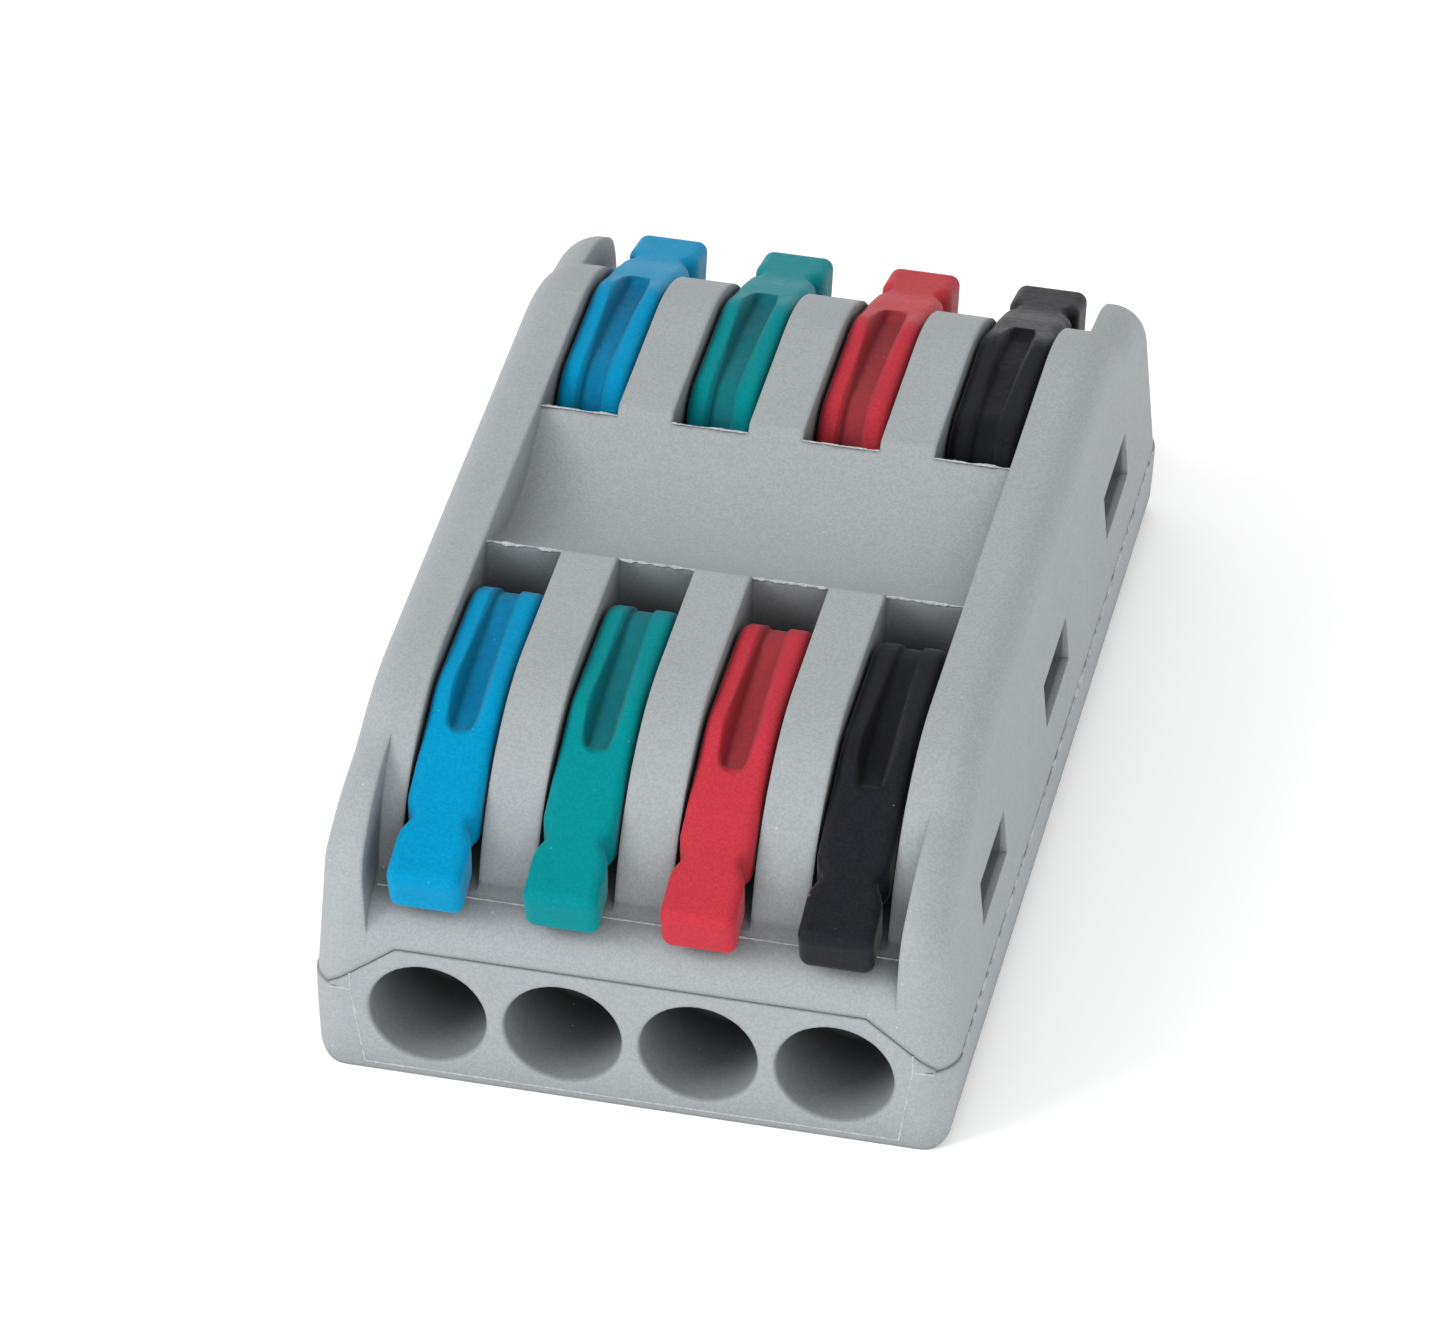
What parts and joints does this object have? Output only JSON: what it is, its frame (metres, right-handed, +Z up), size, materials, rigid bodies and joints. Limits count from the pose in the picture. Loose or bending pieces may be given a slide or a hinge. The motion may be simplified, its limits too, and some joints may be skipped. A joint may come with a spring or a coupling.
{
  "type": "lever wire connector",
  "caption": "In-line lever connector: grey housing with a row of round wire entries at each end and a coloured clamping lever over every entry.",
  "frame": {"origin": "centre of the underside", "axes": "+X across the poles, from the blue pole to the black pole; +Y along the wires, from the front end to the rear end; +Z up through the levers"},
  "size_m": [0.0262, 0.0438, 0.0142],
  "materials": {
    "housing_grey": "fine matt moulded nylon, light grey",
    "lever_blue": "satin moulded nylon, bright blue",
    "lever_green": "satin moulded nylon, teal green",
    "lever_red": "satin moulded nylon, red",
    "lever_black": "satin moulded nylon, black",
    "tinned_copper": "tinned electrolytic copper",
    "spring_steel": "bright rolled stainless spring strip"
  },
  "bodies": {
    "housing": {"housing_base": "housing_grey", "housing_cover": "housing_grey", "current_bar_1": "tinned_copper", "current_bar_2": "tinned_copper", "current_bar_3": "tinned_copper", "current_bar_4": "tinned_copper", "clamp_spring_front_1": "spring_steel", "clamp_spring_front_2": "spring_steel", "clamp_spring_front_3": "spring_steel", "clamp_spring_front_4": "spring_steel", "clamp_spring_rear_1": "spring_steel", "clamp_spring_rear_2": "spring_steel", "clamp_spring_rear_3": "spring_steel", "clamp_spring_rear_4": "spring_steel"},
    "lever_front_blue": {"lever_front_blue": "lever_blue"},
    "lever_front_green": {"lever_front_green": "lever_green"},
    "lever_front_red": {"lever_front_red": "lever_red"},
    "lever_front_black": {"lever_front_black": "lever_black"},
    "lever_rear_blue": {"lever_rear_blue": "lever_blue"},
    "lever_rear_green": {"lever_rear_green": "lever_green"},
    "lever_rear_red": {"lever_rear_red": "lever_red"},
    "lever_rear_black": {"lever_rear_black": "lever_black"}
  },
  "joints": [
    {"name": "lever_front_blue_hinge", "type": "hinge", "parent": "housing", "child": "lever_front_blue", "pos_m": [-0.00825, -0.0093, 0.0105], "axis": [-1, 0, 0], "range_deg": [0, 85], "deforming": ["clamp_spring_front_1"]},
    {"name": "lever_front_green_hinge", "type": "hinge", "parent": "housing", "child": "lever_front_green", "pos_m": [-0.00275, -0.0093, 0.0105], "axis": [-1, 0, 0], "range_deg": [0, 85], "deforming": ["clamp_spring_front_2"]},
    {"name": "lever_front_red_hinge", "type": "hinge", "parent": "housing", "child": "lever_front_red", "pos_m": [0.00275, -0.0093, 0.0105], "axis": [-1, 0, 0], "range_deg": [0, 85], "deforming": ["clamp_spring_front_3"]},
    {"name": "lever_front_black_hinge", "type": "hinge", "parent": "housing", "child": "lever_front_black", "pos_m": [0.00825, -0.0093, 0.0105], "axis": [-1, 0, 0], "range_deg": [0, 85], "deforming": ["clamp_spring_front_4"]},
    {"name": "lever_rear_blue_hinge", "type": "hinge", "parent": "housing", "child": "lever_rear_blue", "pos_m": [-0.00825, 0.0093, 0.0105], "axis": [1, 0, 0], "range_deg": [0, 85], "deforming": ["clamp_spring_rear_1"]},
    {"name": "lever_rear_green_hinge", "type": "hinge", "parent": "housing", "child": "lever_rear_green", "pos_m": [-0.00275, 0.0093, 0.0105], "axis": [1, 0, 0], "range_deg": [0, 85], "deforming": ["clamp_spring_rear_2"]},
    {"name": "lever_rear_red_hinge", "type": "hinge", "parent": "housing", "child": "lever_rear_red", "pos_m": [0.00275, 0.0093, 0.0105], "axis": [1, 0, 0], "range_deg": [0, 85], "deforming": ["clamp_spring_rear_3"]},
    {"name": "lever_rear_black_hinge", "type": "hinge", "parent": "housing", "child": "lever_rear_black", "pos_m": [0.00825, 0.0093, 0.0105], "axis": [1, 0, 0], "range_deg": [0, 85], "deforming": ["clamp_spring_rear_4"]}
  ]
}
